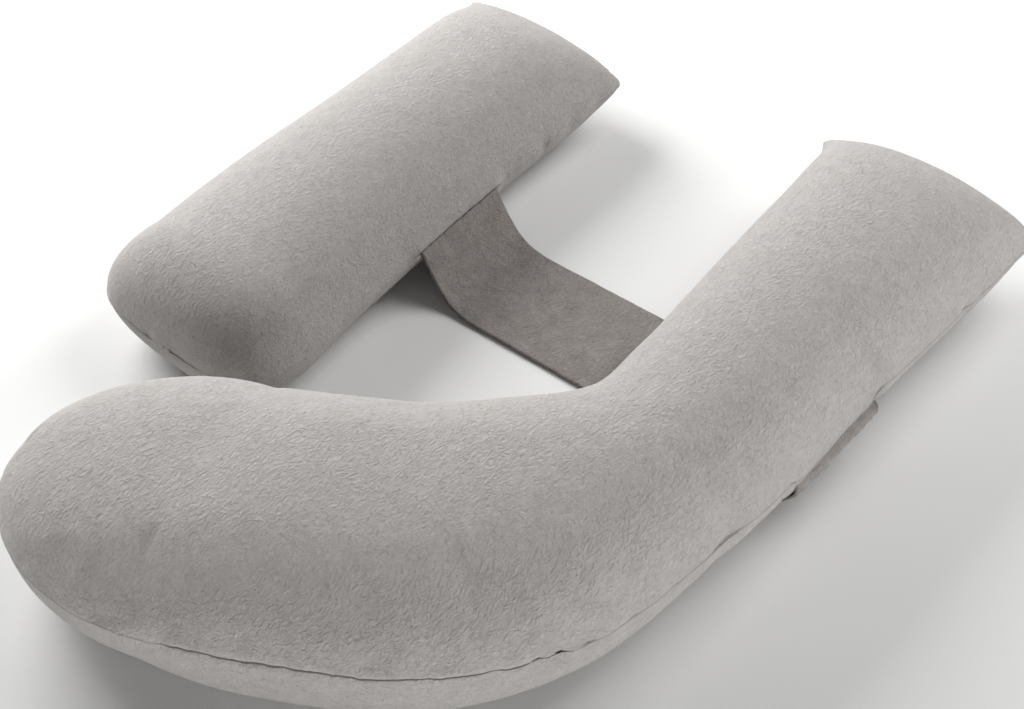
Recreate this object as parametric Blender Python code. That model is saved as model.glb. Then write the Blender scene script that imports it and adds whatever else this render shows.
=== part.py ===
"""A body pillow in three sewn pieces, lying as it is used.

A long pillow lies along +Y and hooks round at its near end, a straight bolster lies beside it, and a wide
doubled band joins the two along the floor: it is sewn to the bolster's inner side seam, passes under the
long pillow's leg and is sewn again to the leg's outer side seam.

Metres, +Z up, resting on z = 0. The tables lay the pieces out about the middle of the space that a body
lies in, and the whole object is then centred on the origin.
"""

import math
from collections import namedtuple

import bmesh
import bpy

# The filled pillows.
RING_POINTS = 32  # around each section
STEP = 0.022  # between sections, along the pillow
CROWN_POWER = 2.15  # 2 is an ellipse, more is boxier
SEAM_LIP = 0.002  # half the thickness where the two panels are sewn flat together
SEWN_END_REACH = 0.15  # length over which a flat-sewn end fills out to its full depth
BELLY_PRESS = 1.10  # how much deeper the belly would be if the surface did not flatten it
ROUND_END_RINGS = 9

# The band.
BAND_THICKNESS = 0.004
BAND_WIDTH = 0.17
GAP = 0.0005  # between the band and the pillow that lies on it
BAND_MIDDLE_Y = 0.121
BED_MARGIN = 0.030  # how far past the band's edges the pillow over it stays lifted
BED_RAMP = 0.030

PLUSH = (0.40, 0.385, 0.37)
BAND_PLUSH = (0.30, 0.29, 0.28)

# One row is one section across a pillow, from its sewn end to its round end: where its two side seams are,
# how high they and the crown lie, and how boxy the underside is.
Row = namedtuple("Row", "outer_x outer_y inner_x inner_y crown seam belly")

LONG_PILLOW = (
    Row(0.488, 0.582, 0.148, 0.590, 0.180, 0.088, 2.0),
    Row(0.480, 0.535, 0.170, 0.545, 0.188, 0.088, 2.0),
    Row(0.480, 0.440, 0.183, 0.450, 0.194, 0.088, 2.0),
    Row(0.474, 0.300, 0.193, 0.300, 0.195, 0.090, 2.0),
    Row(0.466, 0.150, 0.203, 0.150, 0.195, 0.090, 2.0),
    Row(0.463, 0.000, 0.206, 0.030, 0.195, 0.090, 2.0),
    Row(0.453, -0.160, 0.188, -0.064, 0.195, 0.094, 2.2),
    Row(0.424, -0.334, 0.150, -0.141, 0.195, 0.098, 2.4),
    Row(0.318, -0.474, 0.088, -0.196, 0.195, 0.103, 3.4),
    Row(0.158, -0.573, 0.024, -0.240, 0.195, 0.105, 4.0),
    Row(0.046, -0.619, -0.074, -0.280, 0.188, 0.105, 3.4),
    Row(-0.028, -0.637, -0.137, -0.322, 0.174, 0.102, 2.9),
)
LONG_PILLOW_REACH = 0.158
LONG_PILLOW_ROUND = 2.1

BOLSTER = (
    Row(-0.172, 0.538, -0.486, 0.560, 0.168, 0.078, 2.0),
    Row(-0.173, 0.490, -0.473, 0.508, 0.176, 0.074, 2.1),
    Row(-0.168, 0.380, -0.470, 0.395, 0.180, 0.068, 2.2),
    Row(-0.157, 0.130, -0.456, 0.150, 0.180, 0.066, 2.2),
    Row(-0.140, -0.080, -0.444, -0.060, 0.180, 0.070, 2.2),
    Row(-0.128, -0.190, -0.438, -0.172, 0.178, 0.074, 2.4),
)
BOLSTER_REACH = 0.115
BOLSTER_ROUND = 3.2

# The band's own sections, from the bolster's side seam to the leg's.
Fold = namedtuple("Fold", "x skew z")
BAND = (
    Fold(-0.144, -0.006, 0.064),
    Fold(-0.129, -0.005, 0.045),
    Fold(-0.116, -0.003, 0.020),
    Fold(-0.101, 0.000, 0.0045),
    Fold(-0.078, 0.000, 0.000),
    Fold(0.100, 0.000, 0.000),
    Fold(0.250, 0.000, 0.000),
    Fold(0.390, 0.000, 0.000),
    Fold(0.430, 0.000, 0.003),
    Fold(0.452, 0.000, 0.020),
    Fold(0.465, 0.000, 0.045),
    Fold(0.471, 0.000, 0.075),
)


def blend(a, b, c, d, t):
    """One value of the smooth curve that passes through b at t = 0 and c at t = 1."""
    return b + 0.5 * t * (c - a + t * (2 * a - 5 * b + 4 * c - d + t * (3 * (b - c) + d - a)))


def middle(row):
    return ((row.outer_x + row.inner_x) / 2, (row.outer_y + row.inner_y) / 2)


def smooth_rows(rows):
    """Rows added between the given ones, about STEP apart, on smooth curves through every column."""
    out = []
    for i in range(len(rows) - 1):
        a, b, c, d = rows[max(i - 1, 0)], rows[i], rows[i + 1], rows[min(i + 2, len(rows) - 1)]
        count = max(1, round(math.dist(middle(b), middle(c)) / STEP))
        for k in range(count):
            out.append(Row(*(blend(*column, k / count) for column in zip(a, b, c, d))))
    return out + [rows[-1]]


def rounded(u, power):
    """Falls from 1 to 0 as u goes from 0 to 1, along a quarter of a superellipse."""
    return max(0.0, 1 - u**power) ** (1 / power)


def past_the_last(row, onward, distance, narrowing):
    """A narrower copy of the last section, further on in the direction the pillow ends in."""
    x, y = middle(row)
    half_x = (row.outer_x - row.inner_x) / 2 * narrowing
    half_y = (row.outer_y - row.inner_y) / 2 * narrowing
    x += onward[0] * distance
    y += onward[1] * distance
    return row._replace(outer_x=x + half_x, outer_y=y + half_y, inner_x=x - half_x, inner_y=y - half_y)


def filled_sections(rows, reach, roundness):
    """Each section with how full its top and its underside are, from the flat seam to the round end."""
    sections = []
    walked = 0.0
    before = rows[0]
    for row in smooth_rows(rows):
        walked += math.dist(middle(row), middle(before))
        fill = rounded(max(0.0, 1 - walked / SEWN_END_REACH), 2)
        sections.append((row, fill, fill))
        before = row
    last = rows[-1]
    across = (last.outer_x - last.inner_x, last.outer_y - last.inner_y)
    onward = (across[1] / math.hypot(*across), -across[0] / math.hypot(*across))
    for k in range(1, ROUND_END_RINGS + 1):
        u = math.sin(math.pi / 2 * k / ROUND_END_RINGS)
        row = past_the_last(last, onward, reach * u, rounded(u, roundness))
        sections.append((row, rounded(u, CROWN_POWER), rounded(u, last.belly)))
    return sections


def bed_height(y):
    """The height of what the leg lies on: the floor, or the band with soft ramps beside its edges."""
    past = abs(y - BAND_MIDDLE_Y) - BAND_WIDTH / 2 - BED_MARGIN
    return (BAND_THICKNESS + GAP) * min(1.0, max(0.0, 1 - past / BED_RAMP))


def ring(row, top_fill, belly_fill, over_band):
    """The points around one section: the outer seam, over the crown, the inner seam and the underside."""
    mid_x, mid_y = middle(row)
    top = max((row.crown - row.seam) * top_fill, SEAM_LIP)
    depth = max(row.seam * BELLY_PRESS * belly_fill, SEAM_LIP)
    points = []
    for i in range(RING_POINTS):
        turn = math.tau * i / RING_POINTS
        above = i <= RING_POINTS // 2
        power = CROWN_POWER if above else row.belly
        across = math.copysign(abs(math.cos(turn)) ** (2 / power), math.cos(turn))
        rise = abs(math.sin(turn)) ** (2 / power)
        x = mid_x + (row.outer_x - row.inner_x) / 2 * across
        y = mid_y + (row.outer_y - row.inner_y) / 2 * across
        z = row.seam + top * rise if above else row.seam - depth * rise
        points.append((x, y, max(z, bed_height(y) if over_band else 0.0)))
    return points


def pillow(name, rows, reach, roundness, over_band, paint):
    """A filled pillow: two panels sewn together at the sides, flat-sewn at one end and round at the other."""
    bm = bmesh.new()
    sections = filled_sections(rows, reach, roundness)
    tip_row = sections.pop()[0]
    loops = []
    for row, top_fill, belly_fill in sections:
        loops.append([bm.verts.new(point) for point in ring(row, top_fill, belly_fill, over_band)])
    bm.faces.new(loops[0])
    for near, far in zip(loops, loops[1:]):
        skin(bm, near, far)
    tip = bm.verts.new((*middle(tip_row), tip_row.seam))
    for a, b in zip(loops[-1], loops[-1][1:] + loops[-1][:1]):
        bm.faces.new((a, b, tip))
    return finish(name, bm, paint)


def skin(bm, near, far):
    """A band of four-sided faces between two closed loops of vertices."""
    for i, corner in enumerate(near):
        j = (i + 1) % len(near)
        bm.faces.new((corner, near[j], far[j], far[i]))


def joining_band(name, paint):
    """The doubled band: a flat strip of even thickness that rises to a seam at each end."""
    bm = bmesh.new()
    loops = []
    for i, fold in enumerate(BAND):
        before, after = BAND[max(i - 1, 0)], BAND[min(i + 1, len(BAND) - 1)]
        run = math.hypot(after.x - before.x, after.z - before.z)
        rise_x = (before.z - after.z) / run * BAND_THICKNESS
        rise_z = (after.x - before.x) / run * BAND_THICKNESS
        loop = []
        for side, layer in ((-1, 0), (1, 0), (1, 1), (-1, 1)):
            x = fold.x + fold.skew * side + rise_x * layer
            y = BAND_MIDDLE_Y + side * BAND_WIDTH / 2
            loop.append(bm.verts.new((x, y, max(fold.z + rise_z * layer, 0.0))))
        loops.append(loop)
    bm.faces.new(loops[0])
    for near, far in zip(loops, loops[1:]):
        skin(bm, near, far)
    bm.faces.new(loops[-1])
    return finish(name, bm, paint)


def finish(name, bm, paint):
    """The bmesh as an object, with its faces outwards and its material."""
    bmesh.ops.recalc_face_normals(bm, faces=bm.faces)
    mesh = bpy.data.meshes.new(name)
    bm.to_mesh(mesh)
    bm.free()
    mesh.shade_smooth()
    mesh.materials.append(paint)
    thing = bpy.data.objects.new(name, mesh)
    bpy.context.scene.collection.objects.link(thing)
    return thing


def plush(name, colour):
    """Short-pile plush: matt, with no gloss of its own."""
    paint = bpy.data.materials.new(name)
    paint.use_nodes = True
    shader = paint.node_tree.nodes["Principled BSDF"]
    shader.inputs["Base Color"].default_value = (*colour, 1)
    shader.inputs["Roughness"].default_value = 0.9
    shader.inputs["Metallic"].default_value = 0
    return paint


def centre(things):
    """Moves the meshes together, so that the whole object's box is centred over the origin."""
    corners = [vertex.co for thing in things for vertex in thing.data.vertices]
    for axis in (0, 1):
        low = min(co[axis] for co in corners)
        high = max(co[axis] for co in corners)
        for co in corners:
            co[axis] -= (low + high) / 2


def main():
    for thing in list(bpy.data.objects):
        bpy.data.objects.remove(thing)
    leg = plush("long_pillow_plush", PLUSH)
    back = plush("bolster_plush", PLUSH)
    strip = plush("band_plush", BAND_PLUSH)
    centre([
        pillow("long_pillow", LONG_PILLOW, LONG_PILLOW_REACH, LONG_PILLOW_ROUND, True, leg),
        pillow("back_bolster", BOLSTER, BOLSTER_REACH, BOLSTER_ROUND, False, back),
        joining_band("joining_band", strip),
    ])


main()
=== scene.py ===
import math
from collections import namedtuple

import bmesh
import bpy
import numpy as np
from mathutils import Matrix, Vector, kdtree, noise


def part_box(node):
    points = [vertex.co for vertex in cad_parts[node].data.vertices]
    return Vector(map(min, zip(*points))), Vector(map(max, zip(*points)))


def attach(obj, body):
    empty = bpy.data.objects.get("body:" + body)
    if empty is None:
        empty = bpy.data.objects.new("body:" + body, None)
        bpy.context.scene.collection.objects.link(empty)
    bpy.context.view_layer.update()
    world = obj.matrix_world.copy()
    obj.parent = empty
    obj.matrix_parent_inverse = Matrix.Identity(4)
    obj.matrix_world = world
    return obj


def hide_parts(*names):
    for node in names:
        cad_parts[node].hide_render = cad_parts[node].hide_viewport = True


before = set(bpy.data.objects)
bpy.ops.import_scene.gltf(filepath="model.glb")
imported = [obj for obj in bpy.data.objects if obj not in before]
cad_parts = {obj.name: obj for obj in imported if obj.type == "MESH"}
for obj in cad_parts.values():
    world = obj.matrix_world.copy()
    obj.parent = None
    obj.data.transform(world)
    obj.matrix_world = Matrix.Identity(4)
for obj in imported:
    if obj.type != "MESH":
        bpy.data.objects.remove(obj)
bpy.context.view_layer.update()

# ---------------------------------------------------------------------------------------------
# The view: the set lies on a bright, plain floor and is seen from above its hooked end. Two large
# soft lamps stand behind it and to its left, and two small low ones light its near side.
# ---------------------------------------------------------------------------------------------

eye = bpy.data.cameras.new("eye")
eye.sensor_width = 36
eye.lens = 52.7
eye_object = bpy.data.objects.new("eye", eye)
eye_object.location = (0.93, -1.04, 1.37)
eye_object.rotation_euler = (math.radians(46), 0, math.radians(39.5))
bpy.context.scene.collection.objects.link(eye_object)
bpy.context.scene.camera = eye_object
bpy.context.scene.view_settings.view_transform = "Standard"


def linear(hex_colour):
    """An sRGB colour such as 0xB4B0AB as linear red, green, blue and 1."""
    parts = [(hex_colour >> shift & 255) / 255 for shift in (16, 8, 0)]
    return [c / 12.92 if c <= 0.04045 else ((c + 0.055) / 1.055) ** 2.4 for c in parts] + [1]


def add_node(tree, kind, settings=None, values=None, links=None):
    """A shader node with its settings, its input values and its inputs' links."""
    node = tree.nodes.new(kind)
    for name, value in (settings or {}).items():
        setattr(node, name, value)
    for name, value in (values or {}).items():
        node.inputs[name].default_value = value
    for name, socket in (links or {}).items():
        tree.links.new(socket, node.inputs[name])
    return node


LAMP_DISTANCE = 3
LAMP_AIM = Vector((0, 0, 0.1))


def soft_lamp(name, turn, rise, size, watts):
    """A square soft lamp, at a turn from +X and a rise above the floor in degrees."""
    lamp = bpy.data.lights.new(name, "AREA")
    lamp.shape = "SQUARE"
    lamp.size = size
    lamp.energy = watts
    turn, rise = math.radians(turn), math.radians(rise)
    level = math.cos(rise)
    away = Vector((level * math.cos(turn), level * math.sin(turn), math.sin(rise)))
    holder = bpy.data.objects.new(name, lamp)
    holder.location = LAMP_AIM + LAMP_DISTANCE * away
    holder.rotation_euler = away.to_track_quat("Z", "Y").to_euler()
    bpy.context.scene.collection.objects.link(holder)


soft_lamp("key", 172, 25, 2.0, 140)
soft_lamp("back", 70, 40, 2.0, 60)
soft_lamp("low_front", 300, 4, 0.8, 31)
soft_lamp("low_right", 0, 4, 0.8, 26)

BACKDROP_SEEN = 0.95  # the backdrop is pale to look at
BACKDROP_LIGHT = 0.06  # but gives little light

room = bpy.data.worlds.new("room")
room.use_nodes = True
backdrop = room.node_tree.nodes["Background"]
backdrop.inputs["Color"].default_value = (1, 1, 1, 1)
seen = add_node(room.node_tree, "ShaderNodeLightPath").outputs["Is Camera Ray"]
strength = add_node(room.node_tree, "ShaderNodeMapRange", None,
                    {"To Min": BACKDROP_LIGHT, "To Max": BACKDROP_SEEN}, {"Value": seen})
room.node_tree.links.new(strength.outputs["Result"], backdrop.inputs["Strength"])
bpy.context.scene.world = room

bpy.ops.object.select_all(action="DESELECT")
bpy.ops.mesh.primitive_plane_add(size=4.6, location=(0, 0, -0.0005))  # just under the undersides
floor = bpy.context.object
floor.name = "floor"
floor_paint = bpy.data.materials.new("white_floor")
floor_paint.use_nodes = True
floor_shader = floor_paint.node_tree.nodes["Principled BSDF"]
floor_shader.inputs["Base Color"].default_value = linear(0xF4F4F3)
floor_shader.inputs["Roughness"].default_value = 0.9
floor.data.materials.append(floor_paint)

# ---------------------------------------------------------------------------------------------
# The long pillow: two panels of short-pile plush, sewn together right side in along one seam at
# mid height, turned and filled with loose fibre. Its far end is sewn straight across, so it has
# two ears, and its hooked end is cut round. Its own weight presses the underside flat.
# ---------------------------------------------------------------------------------------------

# One row is one section, from the sewn end to the round end: its two side seams, the heights of
# the crown and of the seams, and how boxy the underside is.
Row = namedtuple("Row", "outer_x outer_y inner_x inner_y crown seam belly")

LONG_PILLOW = (
    Row(0.488, 0.582, 0.145, 0.591, 0.180, 0.088, 2.0),
    Row(0.480, 0.535, 0.166, 0.545, 0.188, 0.088, 2.0),
    Row(0.477, 0.440, 0.178, 0.450, 0.194, 0.088, 2.0),
    Row(0.470, 0.300, 0.188, 0.300, 0.195, 0.090, 2.0),
    Row(0.462, 0.150, 0.201, 0.150, 0.195, 0.090, 2.0),
    Row(0.461, 0.000, 0.2085, 0.030, 0.195, 0.090, 2.0),
    Row(0.448, -0.157, 0.209, -0.061, 0.195, 0.094, 2.2),
    Row(0.418, -0.331, 0.147, -0.130, 0.197, 0.098, 2.7),
    Row(0.316, -0.474, 0.085, -0.189, 0.195, 0.103, 3.7),
    Row(0.157, -0.575, 0.022, -0.231, 0.195, 0.105, 4.1),
    Row(0.046, -0.626, -0.074, -0.279, 0.179, 0.105, 2.6),
)

CROWN_POWER = 2.15  # 2 is an ellipse, more is boxier
BELLY_PRESS = 1.1  # how much deeper the belly would be if the floor did not flatten it
SEWN_END_REACH = 0.15  # the length over which a flat-sewn end fills out
SEWN_END_STEPS = (0, 0.001, 0.0035, 0.0075, 0.012, 0.0165, 0.021, 0.026)  # its closer sections
SECTION_STEP = 0.0075
ROUND_END_RINGS = 30
PANEL_STEPS = 44  # across each panel, from seam to seam
CURVE_POINTS = 721  # on the curve that a panel's points are measured out along
CLOSER = 0.55  # how much closer the points stand beside the seams
EASE = 0.0025  # each side is cut this much wider than the table says, and the filling takes it up


def blend(a, b, c, d, t):
    """One value of the smooth curve that passes through b at t = 0 and c at t = 1."""
    return b + 0.5 * t * (c - a + t * (2 * a - 5 * b + 4 * c - d + t * (3 * (b - c) + d - a)))


def middle(row):
    return ((row.outer_x + row.inner_x) / 2, (row.outer_y + row.inner_y) / 2)


def rounded(u, power):
    """Falls from 1 to 0 as u goes from 0 to 1, along a quarter of a superellipse."""
    return max(0.0, 1 - u**power) ** (1 / power)


def corner_cut(radius, walked):
    """How much a side comes in at the rounded corner of the sewn end."""
    inside = max(0.0, radius - walked)
    return radius - math.sqrt(radius**2 - inside**2)


def filled_sections(rows, corners, reach, roundness):
    """Close-set sections, each with how full its top and its underside are. The two corners of the
    sewn end are cut round, and the round end reaches past the last row."""
    smooth = []
    for i in range(len(rows) - 1):
        a, b, c, d = rows[max(i - 1, 0)], rows[i], rows[i + 1], rows[min(i + 2, len(rows) - 1)]
        length = math.dist(middle(b), middle(c))
        shares = np.linspace(0, 1, round(length / SECTION_STEP), endpoint=False)
        if i == 0:
            clear_of_close_ones = shares[shares > (SEWN_END_STEPS[-1] + 0.003) / length]
            shares = [w / length for w in SEWN_END_STEPS] + list(clear_of_close_ones)
        smooth += [Row(*(blend(*column, t) for column in zip(a, b, c, d))) for t in shares]
    last = rows[-1]
    smooth.append(last)
    walked = np.cumsum([0] + [math.dist(middle(p), middle(q)) for p, q in zip(smooth, smooth[1:])])
    sections = []
    for row, w in zip(smooth, walked):
        fill = rounded(max(0.0, 1 - w / SEWN_END_REACH), 2)
        row = widened(row, EASE - corner_cut(corners[0], w), EASE - corner_cut(corners[1], w))
        sections.append((row, fill, fill))
    across = (last.outer_x - last.inner_x, last.outer_y - last.inner_y)
    onward = (across[1] / math.hypot(*across), -across[0] / math.hypot(*across))
    # The crown may already fall at the last row, and the round end then goes on from that slope.
    falling = (rows[-2].crown - last.crown) / 2 / math.dist(middle(rows[-2]), middle(last))
    already = falling * reach / (last.crown - last.seam)
    for k in range(1, ROUND_END_RINGS + 1):
        u = math.sin(math.pi / 2 * k / ROUND_END_RINGS)
        x, y = (m + o * reach * u for m, o in zip(middle(last), onward))
        outer, inner = (rounded(u, power) / 2 for power in roundness)
        row = last._replace(
            outer_x=x + across[0] * outer, outer_y=y + across[1] * outer,
            inner_x=x - across[0] * inner, inner_y=y - across[1] * inner,
        )
        if outer:
            row = widened(row, EASE, EASE)
        top_fill = rounded(u, 2) - already * u * (1 - u) ** 2
        sections.append((row, top_fill, rounded(u, last.belly)))
    return sections


def widened(row, outer_by, inner_by):
    """The same section with its side seams further out."""
    across = (row.outer_x - row.inner_x, row.outer_y - row.inner_y)
    x, y = across[0] / math.hypot(*across), across[1] / math.hypot(*across)
    return row._replace(
        outer_x=row.outer_x + x * outer_by, outer_y=row.outer_y + y * outer_by,
        inner_x=row.inner_x - x * inner_by, inner_y=row.inner_y - y * inner_by,
    )


def panel_curve(half_width, height, power):
    """Points from one side seam over to the other, closer together beside the seams."""
    turn = np.linspace(0, np.pi, CURVE_POINTS)
    x = half_width * np.sign(np.cos(turn)) * np.abs(np.cos(turn)) ** (2 / power)
    z = height * np.abs(np.sin(turn)) ** (2 / power)
    walked = np.concatenate([[0], np.cumsum(np.hypot(np.diff(x), np.diff(z)))])
    even = np.linspace(0, 1, PANEL_STEPS + 1)
    at = (even - CLOSER * np.sin(2 * np.pi * even) / (2 * np.pi)) * walked[-1]
    return np.interp(at, walked, x), np.interp(at, walked, z)


def sewn_shell(name, rows, corners, reach, roundness):
    """The closed skin of a pillow, from its sewn end to its round end, with its seam marked."""
    around = 2 * PANEL_STEPS
    rings = []
    for row, top_fill, belly_fill in filled_sections(rows, corners, reach, roundness):
        x, y = middle(row)
        half = Vector((row.outer_x - x, row.outer_y - y, 0))
        width = max(half.length, 1e-6)
        top_x, top_z = panel_curve(width, (row.crown - row.seam) * top_fill, CROWN_POWER)
        low_x, low_z = panel_curve(width, row.seam * BELLY_PRESS * belly_fill, row.belly)
        ring_x = np.concatenate([top_x[:-1], low_x[:0:-1]])
        ring_z = np.concatenate([row.seam + top_z[:-1], row.seam - low_z[:0:-1]])
        points = np.empty((around, 3))
        points[:, 0] = x + half.x * ring_x / width
        points[:, 1] = y + half.y * ring_x / width
        points[:, 2] = np.maximum(ring_z, 0)
        rings.append(points)
    bm = bmesh.new()
    seam_layer = bm.verts.layers.float.new("on_seam")
    walk_layer = bm.verts.layers.float.new("seam_walk")
    end = [bm.verts.new(p) for p in rings[0][: PANEL_STEPS + 1]]
    loops = [end + end[-2:0:-1]]
    for points in rings[1:-1]:
        loops.append([bm.verts.new(p) for p in points])
    tip = bm.verts.new(rings[-1][0])
    for near, far in zip(loops, loops[1:]):
        for i in range(around):
            j = (i + 1) % around
            bm.faces.new((near[i], near[j], far[j], far[i]))
    for i in range(around):
        bm.faces.new((loops[-1][i], loops[-1][(i + 1) % around], tip))
    seam = [loop[0] for loop in loops] + [tip]
    seam += [loop[PANEL_STEPS] for loop in loops[::-1]] + end[-2:0:-1]
    walked = 0.0
    for before, vertex in zip(seam[:1] + seam, seam):
        walked += (vertex.co - before.co).length
        vertex[walk_layer] = walked
        vertex[seam_layer] = 1
    bmesh.ops.recalc_face_normals(bm, faces=bm.faces)
    mesh = bpy.data.meshes.new(name)
    bm.to_mesh(mesh)
    bm.free()
    mesh.shade_smooth()
    shell = bpy.data.objects.new(name, mesh)
    bpy.context.scene.collection.objects.link(shell)
    return shell


def points_of(thing):
    out = np.empty(len(thing.data.vertices) * 3)
    thing.data.vertices.foreach_get("co", out)
    return out.reshape(-1, 3)


def put_points(thing, points):
    thing.data.vertices.foreach_set("co", points.ravel())
    thing.data.update()


def into_place(shell, x, y):
    """Moves the skin from the tables' origin, where a body lies, to the whole object's."""
    put_points(shell, points_of(shell) + (x, y, 0.0))


LIES_BELOW = 0.012  # the cloth lower than this lies on the floor and is held there
FILLING_FRAMES = 20


def fill_out(shell, start_smaller, most):
    """Blows the skin up against its seam with the cloth solver. It starts a little smaller than it
    was cut, and no point may move by more than the most."""
    points = points_of(shell)
    mesh = shell.data
    on_seam = np.empty(len(points))
    mesh.attributes["on_seam"].data.foreach_get("value", on_seam)
    normals = np.empty(len(points) * 3)
    mesh.vertices.foreach_get("normal", normals)
    held = (on_seam > 0.5) | (points[:, 2] < LIES_BELOW)
    start = points - normals.reshape(-1, 3) * start_smaller * (~held)[:, None]
    put_points(shell, start)
    pins = shell.vertex_groups.new(name="held")
    pins.add([int(i) for i in np.flatnonzero(held)], 1, "REPLACE")
    cloth = shell.modifiers.new("filling", "CLOTH")
    cloth.settings.vertex_group_mass = "held"
    cloth.settings.effector_weights.gravity = 0
    cloth.settings.use_pressure = True
    cloth.settings.uniform_pressure_force = 4
    cloth.settings.quality = 5
    cloth.collision_settings.use_collision = False
    scene = bpy.context.scene
    for number in range(FILLING_FRAMES):
        scene.frame_set(number + 1)
    bpy.ops.object.select_all(action="DESELECT")
    bpy.context.view_layer.objects.active = shell
    shell.select_set(True)
    bpy.ops.object.modifier_apply(modifier=cloth.name)
    scene.frame_set(1)
    shell.vertex_groups.clear()
    moved = points_of(shell) - start
    length = np.linalg.norm(moved, axis=1, keepdims=True)
    put_points(shell, start + moved * np.minimum(1, most / np.maximum(length, 1e-9)))


def refine(shell):
    """One level of subdivision, with the seam kept crisp."""
    mesh = shell.data
    on_seam = np.empty(len(mesh.vertices))
    mesh.attributes["on_seam"].data.foreach_get("value", on_seam)
    ends = np.empty(len(mesh.edges) * 2, dtype=int)
    mesh.edges.foreach_get("vertices", ends)
    crease = (on_seam[ends.reshape(-1, 2)] > 0.5).all(axis=1) * 0.85
    mesh.attributes.new("crease_edge", "FLOAT", "EDGE").data.foreach_set("value", crease)
    finer = shell.modifiers.new("finer", "SUBSURF")
    finer.levels = finer.render_levels = 1
    bpy.ops.object.select_all(action="DESELECT")
    bpy.context.view_layer.objects.active = shell
    shell.select_set(True)
    bpy.ops.object.modifier_apply(modifier=finer.name)
    mesh.shade_smooth()


def smooth_step(x):
    """Rises from 0 to 1 as x does, and is level at both ends."""
    x = np.clip(x, 0, 1)
    return x * x * (3 - 2 * x)


# A pucker is where the seam has gathered the cloth: a short valley that runs from the seam into
# both panels. It has a place beside the seam, a depth, how far it reaches, a width and a lean.
Pucker = namedtuple("Pucker", "x y depth reach width lean")

SEAM_DEPTH = 0.0038  # how far the seam is drawn in where it shows plainly
SEAM_HALF_WIDTH = 0.0035
SEAM_WANDER = 0.0030  # how far it strays up and down
SEAM_WANDER_REACH = 0.010  # and how far into the panels the cloth strays with it
GATHER_SPACING = 0.030
GATHER_DEPTH = 0.0012
UNEVEN_FILLING = 0.0012


def gathers(path, seed, apart, deepest):
    """Small uneven puckers all along a seam, given as (x, y) places."""
    draw = np.random.default_rng(seed)
    out = []
    walked = np.concatenate([[0], np.cumsum(np.linalg.norm(np.diff(path, axis=0), axis=1))])
    at = draw.uniform(0, apart)
    while at < walked[-1]:
        x, y = np.interp(at, walked, path[:, 0]), np.interp(at, walked, path[:, 1])
        depth, reach = deepest * draw.uniform(0.2, 1) ** 1.5, draw.uniform(0.008, 0.022)
        width, lean = draw.uniform(0.006, 0.011), draw.uniform(-0.6, 0.6)
        out.append(Pucker(x, y, depth, reach, width, lean))
        at += apart * draw.uniform(0.5, 1.6)
    return out


def sew(shell, puckers, parted, bed, seed):
    """Draws the seam in, gathers the cloth beside it and makes the filling a little uneven. The
    pile hides most of the seam, but is parted along some stretches: from, to and how plainly."""
    mesh = shell.data
    points = points_of(shell)
    count = len(points)
    normals, on_seam, walk = np.empty(count * 3), np.empty(count), np.empty(count)
    mesh.vertices.foreach_get("normal", normals)
    normals = normals.reshape(-1, 3)
    mesh.attributes["on_seam"].data.foreach_get("value", on_seam)
    mesh.attributes["seam_walk"].data.foreach_get("value", walk)
    seam = np.flatnonzero(on_seam > 0.99)
    seam = seam[np.argsort(walk[seam])]
    around = walk[seam[-1]] + np.linalg.norm(points[seam[-1]] - points[seam[0]])

    def walk_at(x, y):
        return walk[seam[np.argmin(np.hypot(points[seam, 0] - x, points[seam, 1] - y))]]

    tree = kdtree.KDTree(count)
    for i, index in enumerate(seam):
        tree.insert(points[index], i)
    tree.balance()
    found = [tree.find(p) for p in points]
    gap = np.array([f[2] for f in found])
    walk_near = walk[seam[[f[1] for f in found]]]
    peeps_out = np.array([noise.noise(Vector((w * 9, seed, 0))) for w in walk_near])
    show = np.clip(0.02 + 0.5 * peeps_out, 0.0, 0.16)
    for start, end, plainly in parted:
        stretch = (walk_at(*end) - walk_at(*start)) % around
        along = (walk_near - walk_at(*start) + around / 4) % around - around / 4
        inside = smooth_step(along / 0.03 + 0.5) * smooth_step((stretch - along) / 0.03 + 0.5)
        show = np.maximum(show, plainly * inside)
    inwards = SEAM_DEPTH * (0.05 + 0.95 * show) * np.exp(-((gap / SEAM_HALF_WIDTH) ** 2))
    for pucker in list(puckers) + gathers(points[seam][:, :2], seed, GATHER_SPACING, GATHER_DEPTH):
        along = (walk_near - walk_at(pucker.x, pucker.y) + around / 2) % around - around / 2
        across = (along - pucker.lean * gap) / pucker.width
        valley = np.exp(-across**2 - gap / pucker.reach) * smooth_step(gap / 0.004 + 0.4)
        inwards += pucker.depth * valley
    swell = [noise.noise(Vector(p) * 6) + 0.35 * noise.noise(Vector(p) * 15) for p in points]
    clear_of_floor = smooth_step((points[:, 2] - 0.004) / 0.03)
    outwards = UNEVEN_FILLING * np.array(swell) * clear_of_floor * smooth_step(gap / 0.03)
    outwards -= inwards * smooth_step(points[:, 2] / 0.01)
    points += normals * outwards[:, None]
    wander = np.array([
        noise.noise(Vector((w * 22, 5.0, seed))) + 0.6 * noise.noise(Vector((w * 100, 9.0, seed)))
        for w in walk_near
    ])
    wander *= SEAM_WANDER * (0.3 + 0.7 * show)
    points[:, 2] += wander * np.exp(-gap / SEAM_WANDER_REACH)
    points[:, 2] = np.maximum(points[:, 2], [bed(y) for y in points[:, 1]])
    put_points(shell, points)
    mesh.attributes.new("seam_gap", "FLOAT", "POINT").data.foreach_set("value", gap)
    mesh.attributes.new("seam_show", "FLOAT", "POINT").data.foreach_set("value", show)


def flat_floor(y):
    return 0.0


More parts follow.
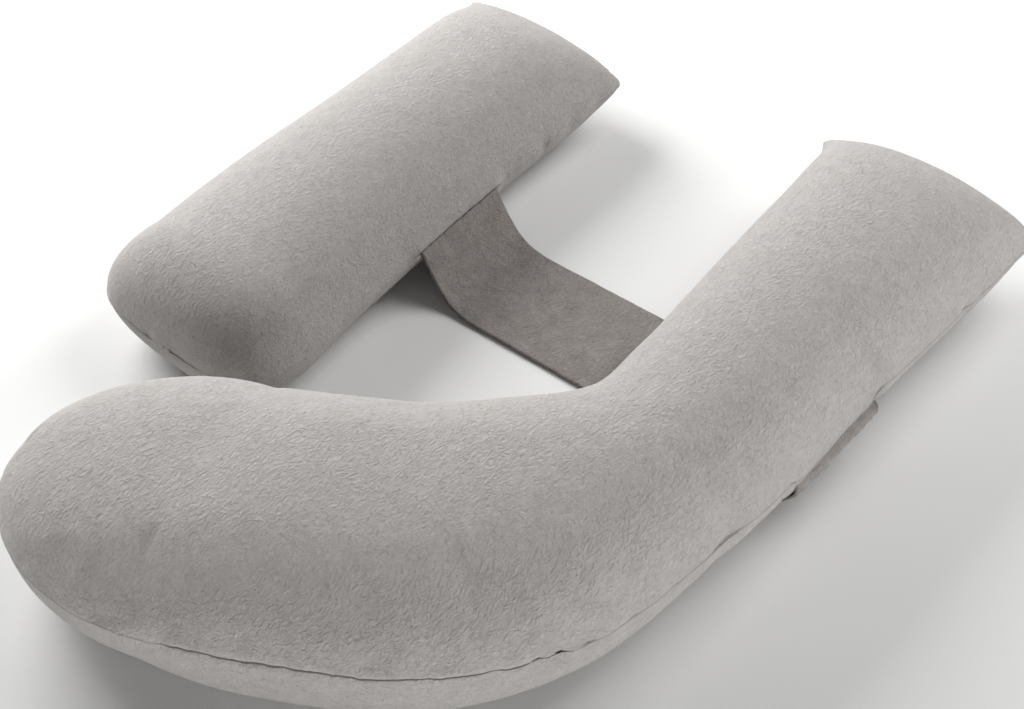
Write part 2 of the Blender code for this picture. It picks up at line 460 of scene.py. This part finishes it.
BAND_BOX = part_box("joining_band")
BAND_MIDDLE_Y = (BAND_BOX[0].y + BAND_BOX[1].y) / 2
BAND_WIDTH = BAND_BOX[1].y - BAND_BOX[0].y
LIFT_OVER_BAND = 0.0045
LIFT_MARGIN = 0.03  # how far past the band's edges the leg stays lifted
LIFT_RAMP = 0.03


def band_bed(y):
    """What the leg lies on: the floor, or the band with soft ramps beside its edges."""
    past = abs(y - BAND_MIDDLE_Y) - BAND_WIDTH / 2 - LIFT_MARGIN
    return LIFT_OVER_BAND * min(1.0, max(0.0, 1 - past / LIFT_RAMP))


PLUSH_LIGHT = 0xC6C2BF
PLUSH_DARK = 0xA29E9B
# The dark seam colour is painted shade, laid where the seam is sunk.
SEAM_PAINTED_SHADE = 0x57534F
# The fibres are far too fine to show, so the tufts are drawn 4 mm long, twice their real size.
TUFT = 0.0042
BRUSHED_PATCH = 0.018  # how far the pile lies one way before it turns
TONE_PATCH = 0.022  # how far it stays lighter or darker


def plush(name, light, dark, seam_shade_colour, lay, mottled):
    """Short-pile polyester plush: matt and warm grey, made of small tufts that were brushed two
    ways, with a soft pale sheen where it turns away and a line of painted shade where the seam is
    sunk. The pile lies at an angle in degrees, and a share of its tone comes from broad patches."""
    paint = bpy.data.materials.new(name)
    paint.use_nodes = True
    tree = paint.node_tree
    shader = tree.nodes["Principled BSDF"]
    shader.inputs["Roughness"].default_value = 0.95
    shader.inputs["Specular IOR Level"].default_value = 0.12
    shader.inputs["Sheen Weight"].default_value = 0.22
    shader.inputs["Sheen Roughness"].default_value = 0.5
    shader.inputs["Sheen Tint"].default_value = (1, 0.99, 0.98, 1)
    place = add_node(tree, "ShaderNodeTexCoord").outputs["Object"]
    brushed = []
    for turn in (lay, lay + 70):
        along = add_node(tree, "ShaderNodeMapping", None,
                         {"Rotation": (0.3, 0.2, math.radians(turn)), "Scale": (1.0, 0.6, 0.85)},
                         {"Vector": place})
        brushed.append(add_node(tree, "ShaderNodeTexNoise", None,
                                {"Scale": 1 / TUFT, "Detail": 2.8, "Roughness": 0.68,
                                 "Distortion": 0.8},
                                {"Vector": along.outputs["Vector"]}).outputs["Fac"])
    sweep = add_node(tree, "ShaderNodeTexNoise", None,
                     {"Scale": 1 / BRUSHED_PATCH, "Detail": 1.0}, {"Vector": place})
    way = add_node(tree, "ShaderNodeMapRange", None, {"From Min": 0.42, "From Max": 0.58},
                   {"Value": sweep.outputs["Fac"]})
    mixed = add_node(tree, "ShaderNodeMix", {"data_type": "FLOAT"}, None,
                     {"Factor": way.outputs["Result"], "A": brushed[0], "B": brushed[1]})
    tufts = mixed.outputs["Result"]
    patches = add_node(tree, "ShaderNodeTexNoise", None,
                       {"Scale": 1 / TONE_PATCH, "Detail": 3.0, "Roughness": 0.6},
                       {"Vector": place})
    broad = add_node(tree, "ShaderNodeMath", {"operation": "MULTIPLY"}, {1: mottled},
                     {0: patches.outputs["Fac"]})
    both = add_node(tree, "ShaderNodeMath", {"operation": "MULTIPLY_ADD"}, {1: 1 - mottled},
                    {0: tufts, 2: broad.outputs["Value"]})
    shade = add_node(tree, "ShaderNodeMapRange", None, {"From Min": 0.24, "From Max": 0.76},
                     {"Value": both.outputs["Value"]})
    pile = add_node(tree, "ShaderNodeMix", {"data_type": "RGBA"},
                    {"A": linear(dark), "B": linear(light)}, {"Factor": shade.outputs["Result"]})
    # Painted shade: the seam colour is mixed in where the seam is sunk, as plainly as the seam
    # shows.
    gap = add_node(tree, "ShaderNodeAttribute", {"attribute_name": "seam_gap"})
    sunk = add_node(tree, "ShaderNodeMapRange", {"interpolation_type": "SMOOTHSTEP"},
                    {"From Min": 0.0009, "From Max": 0.0030, "To Min": 0.9, "To Max": 0.0},
                    {"Value": gap.outputs["Fac"]})
    show = add_node(tree, "ShaderNodeAttribute", {"attribute_name": "seam_show"})
    darkened = add_node(tree, "ShaderNodeMath", {"operation": "MULTIPLY"}, None,
                        {0: sunk.outputs["Result"], 1: show.outputs["Fac"]})
    skin = add_node(tree, "ShaderNodeMix", {"data_type": "RGBA"}, {"B": linear(seam_shade_colour)},
                    {"A": pile.outputs["Result"], "Factor": darkened.outputs["Value"]})
    tree.links.new(skin.outputs["Result"], shader.inputs["Base Color"])
    bump = add_node(tree, "ShaderNodeBump", None, {"Strength": 1.0, "Distance": 0.0036},
                    {"Height": tufts})
    tree.links.new(bump.outputs["Normal"], shader.inputs["Normal"])
    return paint


def tugged(shell, beyond, reach_y, seam_z, spread, by):
    """Moves the seam and the cloth about it where the band is sewn in, by (x, z). It reaches past
    an x, between two places along y, and fades above and below the seam."""
    points = points_of(shell)
    x, y, z = points.T
    near = np.exp(-(((z - seam_z) / spread) ** 2)) * smooth_step((x - beyond) / 0.05)
    near *= smooth_step((y - reach_y[0]) / 0.03) * smooth_step((reach_y[1] - y) / 0.03)
    put_points(shell, points + np.stack([by[0] * near, 0 * near, by[1] * near], axis=1))


long_pillow = sewn_shell(
    "long_pillow_cover", LONG_PILLOW, corners=(0.022, 0.014), reach=0.243, roundness=(2.0, 1.8)
)
into_place(long_pillow, 0.0037, 0.0266)
fill_out(long_pillow, start_smaller=0.002, most=0.006)
refine(long_pillow)
tugged(long_pillow, beyond=0.37, reach_y=(0.015, 0.230), seam_z=0.085, spread=0.05,
       by=(-0.003, -0.016))
LONG_PUCKERS = (
    # the front, where the hook turns into the leg
    Pucker(0.4157, -0.3305, 0.0075, 0.020, 0.0080, 0.5),
    Pucker(0.4030, -0.3560, 0.0060, 0.018, 0.0075, 0.4),
    Pucker(0.4260, -0.3030, 0.0040, 0.025, 0.0090, 0.3),
    Pucker(0.3780, -0.3950, 0.0035, 0.014, 0.0080, -0.3),
    Pucker(0.3253, -0.4392, 0.0012, 0.012, 0.0080, 0.2),
    Pucker(0.2100, -0.5160, 0.0018, 0.016, 0.0080, 0.5),
    Pucker(0.1801, -0.5338, 0.0014, 0.012, 0.0070, -0.4),
    Pucker(0.0886, -0.5803, 0.0022, 0.018, 0.0090, 0.3),
    Pucker(0.0193, -0.6006, 0.0014, 0.014, 0.0100, -0.2),
    # the outside of the leg, before and after the band
    Pucker(0.4424, -0.2401, 0.0026, 0.030, 0.0180, 0.0),
    Pucker(0.4600, -0.0960, 0.0065, 0.050, 0.0260, 0.0),
    Pucker(0.4630, 0.0250, 0.0030, 0.025, 0.0120, -0.3),
    Pucker(0.4754, 0.2180, 0.0040, 0.025, 0.0130, 0.3),
    Pucker(0.4776, 0.4126, 0.0036, 0.016, 0.0100, 0.0),
    # the sewn end, whose ears pull the cloth out flat
    Pucker(0.4600, 0.6120, 0.0030, 0.030, 0.0120, 0.4),
    Pucker(0.4150, 0.6140, 0.0016, 0.022, 0.0110, 0.2),
    Pucker(0.3500, 0.6160, 0.0020, 0.026, 0.0120, 0.0),
    Pucker(0.2900, 0.6170, 0.0014, 0.020, 0.0100, 0.1),
    Pucker(0.2250, 0.6180, 0.0022, 0.028, 0.0120, -0.2),
    Pucker(0.1750, 0.6190, 0.0032, 0.034, 0.0120, -0.5),
    # the inner bend, where the cloth is slack
    Pucker(0.2150, -0.0420, 0.0030, 0.030, 0.0140, 0.1),
    Pucker(0.1700, -0.0850, 0.0024, 0.024, 0.0120, -0.2),
)
LONG_PARTED = (
    ((0.4180, -0.3260), (0.0900, -0.5790), 1.0),  # the front
    ((0.1600, 0.6150), (0.4700, 0.6080), 0.35),  # the sewn end
)
sew(long_pillow, LONG_PUCKERS, LONG_PARTED, bed=band_bed, seed=3)
long_pillow.data.materials.append(
    plush("grey_plush", PLUSH_LIGHT, PLUSH_DARK, SEAM_PAINTED_SHADE, lay=38, mottled=0.30)
)
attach(long_pillow, "root")
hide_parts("long_pillow")

# ---------------------------------------------------------------------------------------------
# The back bolster: the same plush and make, but straight. Its far end is sewn flat across and its
# near end is cut as a rectangle with round corners.
# ---------------------------------------------------------------------------------------------

BOLSTER = (
    Row(-0.163, 0.540, -0.496, 0.571, 0.152, 0.078, 2.0),
    Row(-0.167, 0.490, -0.480, 0.508, 0.162, 0.074, 2.1),
    Row(-0.167, 0.380, -0.467, 0.395, 0.176, 0.068, 2.2),
    Row(-0.154, 0.130, -0.453, 0.150, 0.178, 0.066, 2.2),
    Row(-0.131, -0.080, -0.440, -0.060, 0.178, 0.070, 2.2),
    Row(-0.116, -0.190, -0.424, -0.180, 0.176, 0.074, 2.4),
)

bolster = sewn_shell(
    "bolster_cover", BOLSTER, corners=(0.030, 0.010), reach=0.115, roundness=(3.5, 3.6)
)
into_place(bolster, -0.0045, 0.0270)
fill_out(bolster, start_smaller=0.002, most=0.006)
refine(bolster)
tugged(bolster, beyond=-0.22, reach_y=(0.045, 0.275), seam_z=0.066, spread=0.022,
       by=(0.006, 0.003))
BOLSTER_PUCKERS = (
    # the inner side near the sewn end
    Pucker(-0.1622, 0.3744, 0.0040, 0.016, 0.0150, 0.2),
    Pucker(-0.1557, 0.4330, 0.0022, 0.020, 0.0150, -0.3),
    Pucker(-0.1722, 0.5058, 0.0018, 0.030, 0.0150, 0.4),
    Pucker(-0.1700, 0.5400, 0.0014, 0.024, 0.0130, 0.5),
    # the sewn end
    Pucker(-0.2000, 0.5660, 0.0028, 0.030, 0.0110, 0.4),
    Pucker(-0.2600, 0.5700, 0.0018, 0.022, 0.0110, 0.1),
    Pucker(-0.3200, 0.5750, 0.0022, 0.026, 0.0110, 0.0),
    Pucker(-0.3900, 0.5800, 0.0016, 0.022, 0.0100, -0.2),
    Pucker(-0.4500, 0.5850, 0.0028, 0.030, 0.0110, -0.5),
    # the round end
    Pucker(-0.4300, -0.2200, 0.0006, 0.018, 0.0100, 0.2),
    Pucker(-0.3300, -0.2650, 0.0008, 0.014, 0.0090, 0.0),
    Pucker(-0.1700, -0.2400, 0.0024, 0.020, 0.0100, -0.2),
)
BOLSTER_PARTED = (
    ((-0.1600, 0.2550), (-0.1560, 0.0660), 1.0),  # where the band is sewn in
    ((-0.4600, 0.5980), (-0.2050, 0.5700), 0.6),  # the sewn end
)
sew(bolster, BOLSTER_PUCKERS, BOLSTER_PARTED, bed=flat_floor, seed=8)
bolster.data.materials.append(
    plush("grey_plush_of_the_bolster", PLUSH_LIGHT, PLUSH_DARK, SEAM_PAINTED_SHADE, lay=10, mottled=0.30)
)
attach(bolster, "root")
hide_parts("back_bolster")

# ---------------------------------------------------------------------------------------------
# The joining band: plush doubled into a wide, thin strap. It is sewn into the bolster's inner seam,
# drops to the floor, runs under the leg, and is sewn into the leg's outer seam, where it shows as
# a tab.
# ---------------------------------------------------------------------------------------------


def seam_line(shell, beyond):
    """The part of a pillow's seam past an x, as a function from y to x and z."""
    points = points_of(shell)
    on_seam = np.empty(len(points))
    shell.data.attributes["on_seam"].data.foreach_get("value", on_seam)
    side = points[(on_seam > 0.99) & (points[:, 0] > beyond)]
    side = side[np.argsort(side[:, 1])]
    return lambda y: (np.interp(y, side[:, 1], side[:, 0]), np.interp(y, side[:, 1], side[:, 2]))


BAND_HALF = 0.087
BAND_THICK = 0.004
BAND_Y = 0.147  # its middle line where it lies flat between the pillows
SKEW_AT_BOLSTER = 0.011  # how much further along +Y it is sewn in
SKEW_AT_LEG = -0.023
LYING_HEIGHT = 0.0014
EDGE_ROUND = 0.004
STITCHES_IN = 0.0065  # from the edge to the row of stitches
STITCHES_HALF_WIDTH = 0.0012
STITCHES_DEPTH = 0.0005
BAND_ROWS = 190  # along the band
BAND_COLUMNS = 56  # across it

# The drop from the bolster's seam to the floor, and the climb to the leg's seam: how far out from
# the seam, and what share of the seam's height is left.
Fall = namedtuple("Fall", "out left")
DROP = (
    Fall(0.0, 1.0), Fall(0.0110, 0.77), Fall(0.0250, 0.49), Fall(0.0420, 0.245),
    Fall(0.0630, 0.09), Fall(0.0900, 0.03), Fall(0.1200, 0.02),
)
CLIMB = (
    Fall(-0.0900, 0.02), Fall(-0.0640, 0.04), Fall(-0.0450, 0.11), Fall(-0.0270, 0.26),
    Fall(-0.0110, 0.46), Fall(0.0025, 0.68), Fall(0.0062, 0.87), Fall(-0.0030, 1.0),
)


def curve_through(knots, count):
    """Evenly spaced points on a smooth curve through (x, z) knots, and the curve's length."""
    fine = []
    for i in range(len(knots) - 1):
        a, b, c, d = knots[max(i - 1, 0)], knots[i], knots[i + 1], knots[min(i + 2, len(knots) - 1)]
        for t in np.linspace(0, 1, 24, endpoint=False):
            fine.append([blend(*column, t) for column in zip(a, b, c, d)])
    fine = np.array(fine + [list(knots[-1])])
    walked = np.concatenate([[0], np.cumsum(np.linalg.norm(np.diff(fine, axis=0), axis=1))])
    even = np.linspace(0, walked[-1], count)
    return np.stack([np.interp(even, walked, fine[:, k]) for k in (0, 1)], axis=1), walked[-1]


def joining_band():
    """The band as a closed sheet of two layers, on a path between the two pillows' seams."""
    bolster_seam, leg_seam = seam_line(bolster, -0.3), seam_line(long_pillow, 0.4)
    top = np.empty((BAND_COLUMNS + 1, BAND_ROWS + 1, 3))
    edge = np.linspace(-1, 1, BAND_COLUMNS + 1)
    length = 0.0
    for j, side in enumerate(edge):
        y = BAND_Y + side * BAND_HALF
        start_x, start_z = bolster_seam(y + SKEW_AT_BOLSTER)
        end_x, end_z = leg_seam(y + SKEW_AT_LEG)
        knots = [(start_x - 0.002 + fall.out, start_z * fall.left) for fall in DROP]
        knots += [(x, LYING_HEIGHT) for x in (0.05, 0.15, 0.25, 0.33)]
        bulge = 1.2 + 0.6 * side - 0.4 * side**2  # the tab stands out most near its far edge
        for fall in CLIMB:
            out = fall.out * bulge if fall.out > 0 else fall.out
            knots.append((end_x + out, end_z * fall.left))
        path, walked = curve_through(knots, BAND_ROWS + 1)
        length += walked / len(edge)
        askew = SKEW_AT_BOLSTER * smooth_step((-0.05 - path[:, 0]) / 0.1)
        askew += SKEW_AT_LEG * smooth_step((path[:, 0] - 0.17) / 0.25)
        top[j, :, 0], top[j, :, 1], top[j, :, 2] = path[:, 0], y + askew, path[:, 1]
    share = np.linspace(0, 1, BAND_ROWS + 1)
    tangent = np.gradient(top, axis=1)
    normal = np.cross(tangent, np.gradient(top, axis=0))
    normal /= np.linalg.norm(normal, axis=2, keepdims=True)
    normal *= np.sign(normal[BAND_COLUMNS // 2, BAND_ROWS // 2, 2])
    # The doubled edge is round, and a shallow row of stitches runs inside it.
    inset = (1 - np.abs(edge)) * BAND_HALF
    round_off = np.sqrt(1 - (1 - np.minimum(inset / EDGE_ROUND, 1)) ** 2)
    stitched = np.exp(-(((inset - STITCHES_IN) / STITCHES_HALF_WIDTH) ** 2)) * STITCHES_DEPTH
    # Small wrinkles cross the tab, where the band is squeezed beside the leg.
    squeezed = smooth_step((share - 0.86) / 0.04) * smooth_step((1.0 - share) / 0.03)
    soft, ripple = np.empty((2, BAND_COLUMNS + 1, BAND_ROWS + 1))
    for j, i in np.ndindex(soft.shape):
        x, y, z = top[j, i]
        soft[j, i] = noise.noise(Vector((x, y, z)) * 22) + 0.5 * noise.noise(Vector((x, y, z)) * 60)
        ripple[j, i] = noise.noise(Vector((y * 150, z * 28, 3.0)))
    lift = soft * 0.0007 + ripple * 0.0016 * squeezed[None, :]
    half = BAND_THICK / 2 * round_off[:, None] * np.ones(BAND_ROWS + 1)[None, :] - stitched[:, None]
    centre = top + normal * (BAND_THICK / 2 + lift)[:, :, None]
    upper, lower = centre + normal * half[:, :, None], centre - normal * half[:, :, None]
    lower[:, :, 2] = np.maximum(lower[:, :, 2], 0.0)
    upper[:, :, 2] = np.maximum(upper[:, :, 2], lower[:, :, 2] + half * 0.6)
    # The leg lies on it and keeps it flat.
    under_leg = (upper[:, :, 0] > 0.15) & (upper[:, :, 0] < 0.40)
    pressed = np.minimum(upper[:, :, 2], LIFT_OVER_BAND - 0.0003)
    upper[:, :, 2] = np.where(under_leg, pressed, upper[:, :, 2])
    # The stitches at the two ends show as uneven dashes of painted shade, and a fainter line of
    # painted shade runs along both long edges.
    dashes = [0.7 + 0.9 * noise.noise(Vector((e * BAND_HALF * 130, 1.0, 1.0))) for e in edge]
    bm = bmesh.new()
    gap_layer = bm.verts.layers.float.new("seam_gap")
    show_layer = bm.verts.layers.float.new("seam_show")
    sheets = []
    for layer in (upper, lower):
        grid = []
        for j in range(BAND_COLUMNS + 1):
            line = []
            for i in range(BAND_ROWS + 1):
                shared = layer is lower and j in (0, BAND_COLUMNS)
                vertex = sheets[0][j][i] if shared else bm.verts.new(layer[j, i])
                from_seam = min(share[i], 1 - share[i]) * length
                vertex[gap_layer] = min(from_seam, inset[j] * 0.6)
                vertex[show_layer] = dashes[j] if from_seam < inset[j] else 0.45
                line.append(vertex)
            grid.append(line)
        sheets.append(grid)
    for grid, turned in zip(sheets, (False, True)):
        for j in range(BAND_COLUMNS):
            for i in range(BAND_ROWS):
                corners = (grid[j][i], grid[j + 1][i], grid[j + 1][i + 1], grid[j][i + 1])
                bm.faces.new(corners[::-1] if turned else corners)
    for i in (0, BAND_ROWS):
        rim = [sheets[0][j][i] for j in range(BAND_COLUMNS + 1)]
        back = [sheets[1][j][i] for j in range(BAND_COLUMNS + 1)]
        for j in range(BAND_COLUMNS):
            corners = [rim[j], rim[j + 1], back[j + 1], back[j]]
            bm.faces.new(list(dict.fromkeys(corners)))
    bmesh.ops.recalc_face_normals(bm, faces=bm.faces)
    mesh = bpy.data.meshes.new("band_cloth")
    bm.to_mesh(mesh)
    bm.free()
    mesh.shade_smooth()
    band = bpy.data.objects.new("band_cloth", mesh)
    bpy.context.scene.collection.objects.link(band)
    return band


band = joining_band()
# Its third colour is painted shade, for its sunk ends and its rounded edges.
band.data.materials.append(
    plush("band_plush", 0xA8A29E, 0x7C7672, 0x4E4A47, lay=60, mottled=0.5)
)
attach(band, "root")
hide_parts("joining_band")
